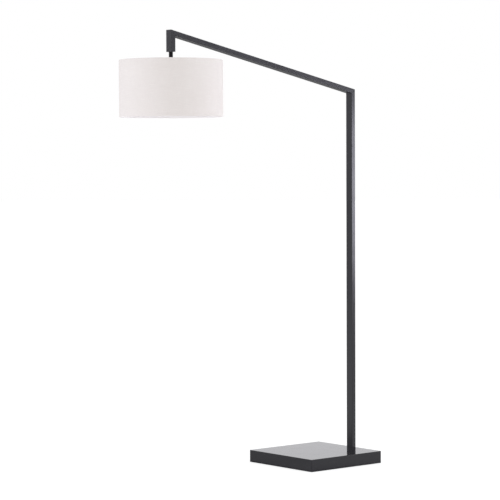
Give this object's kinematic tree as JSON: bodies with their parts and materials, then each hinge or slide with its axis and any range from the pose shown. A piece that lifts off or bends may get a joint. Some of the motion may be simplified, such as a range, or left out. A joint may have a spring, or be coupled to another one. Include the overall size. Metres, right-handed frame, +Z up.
{
  "type": "floor lamp",
  "caption": "Cantilever floor lamp: weighted square base, rectangular-tube post and rising arm with mitred corners, a short drop and a hanging white fabric drum shade.",
  "frame": {"origin": "centre of the underside of the pad under the base, on the floor", "axes": "+Z up; the frame lies in the XZ plane, with the post at +X behind the base and the arm rising towards -X"},
  "size_m": [1.165, 0.406, 1.7645],
  "materials": {
    "frame_paint": "satin dark bronze, near black",
    "base_paint": "glossy dark bronze, near black",
    "stem_paint": "matt black",
    "zinc_steel": "zinc plated",
    "brass": "plain",
    "black_plastic": "matt",
    "phenolic": "moulded phenolic",
    "connector_plastic": "natural polyamide",
    "concrete": "cast, rough",
    "pad_rubber": "matt foam rubber",
    "card": "plain card",
    "lead_jacket": "matt",
    "core_jacket": "insulated core",
    "bulb_metal": "plain",
    "bulb_plastic": "satin white",
    "bulb_opal": "opal diffuser",
    "shade_fabric": "white linen weave",
    "shade_liner": "white styrene",
    "ring_wire": "white powder coat"
  },
  "bodies": {
    "stand": {"base_cover": "base_paint", "base_weight": "concrete", "base_standoffs": "zinc_steel", "base_plate": "zinc_steel", "base_plate_screws": "zinc_steel", "base_pad": "pad_rubber", "post_backing": "zinc_steel", "post_bolts": "zinc_steel", "post_washers": "zinc_steel", "post_insert": "zinc_steel", "post_plug": "black_plastic", "wire_grommet": "black_plastic", "cord_gland": "black_plastic", "gland_nut": "black_plastic", "terminal_block": "connector_plastic", "terminal_screws": "brass", "post": "frame_paint", "arm": "frame_paint", "drop": "frame_paint", "post_elbow": "zinc_steel", "drop_elbow": "zinc_steel", "elbow_screws": "zinc_steel", "drop_plug": "frame_paint", "drop_plug_screws": "zinc_steel", "pipe_nut": "zinc_steel", "pipe_lock_washer": "zinc_steel", "threaded_pipe": "zinc_steel", "stem_sleeve": "stem_paint", "hub_washer": "zinc_steel", "hub_nut": "zinc_steel", "socket_cap": "phenolic", "socket_shell": "phenolic", "socket_liner": "card", "socket_body": "phenolic", "socket_screw_shell": "brass", "socket_contact": "brass", "socket_terminals": "brass", "inner_lead": "lead_jacket", "lead_cores": "core_jacket", "bulb_cap": "bulb_metal", "bulb_contact": "brass", "bulb_body": "bulb_plastic", "bulb_dome": "bulb_opal"},
    "shade": {"shade_fitter": "ring_wire", "shade_bottom_ring": "ring_wire", "shade_skin": "shade_fabric", "shade_liner": "shade_liner"},
    "switch": {"switch_shaft": "brass", "switch_knob": "phenolic"}
  },
  "joints": [
    {"name": "shade_turn", "type": "hinge", "parent": "stand", "child": "shade", "pos_m": [-0.748, 0, 1.63557], "axis": [0, 0, 1], "continuous": true},
    {"name": "switch_turn", "type": "hinge", "parent": "stand", "child": "switch", "pos_m": [-0.748, 0, 1.60332], "axis": [0, 1, 0], "continuous": true}
  ]
}
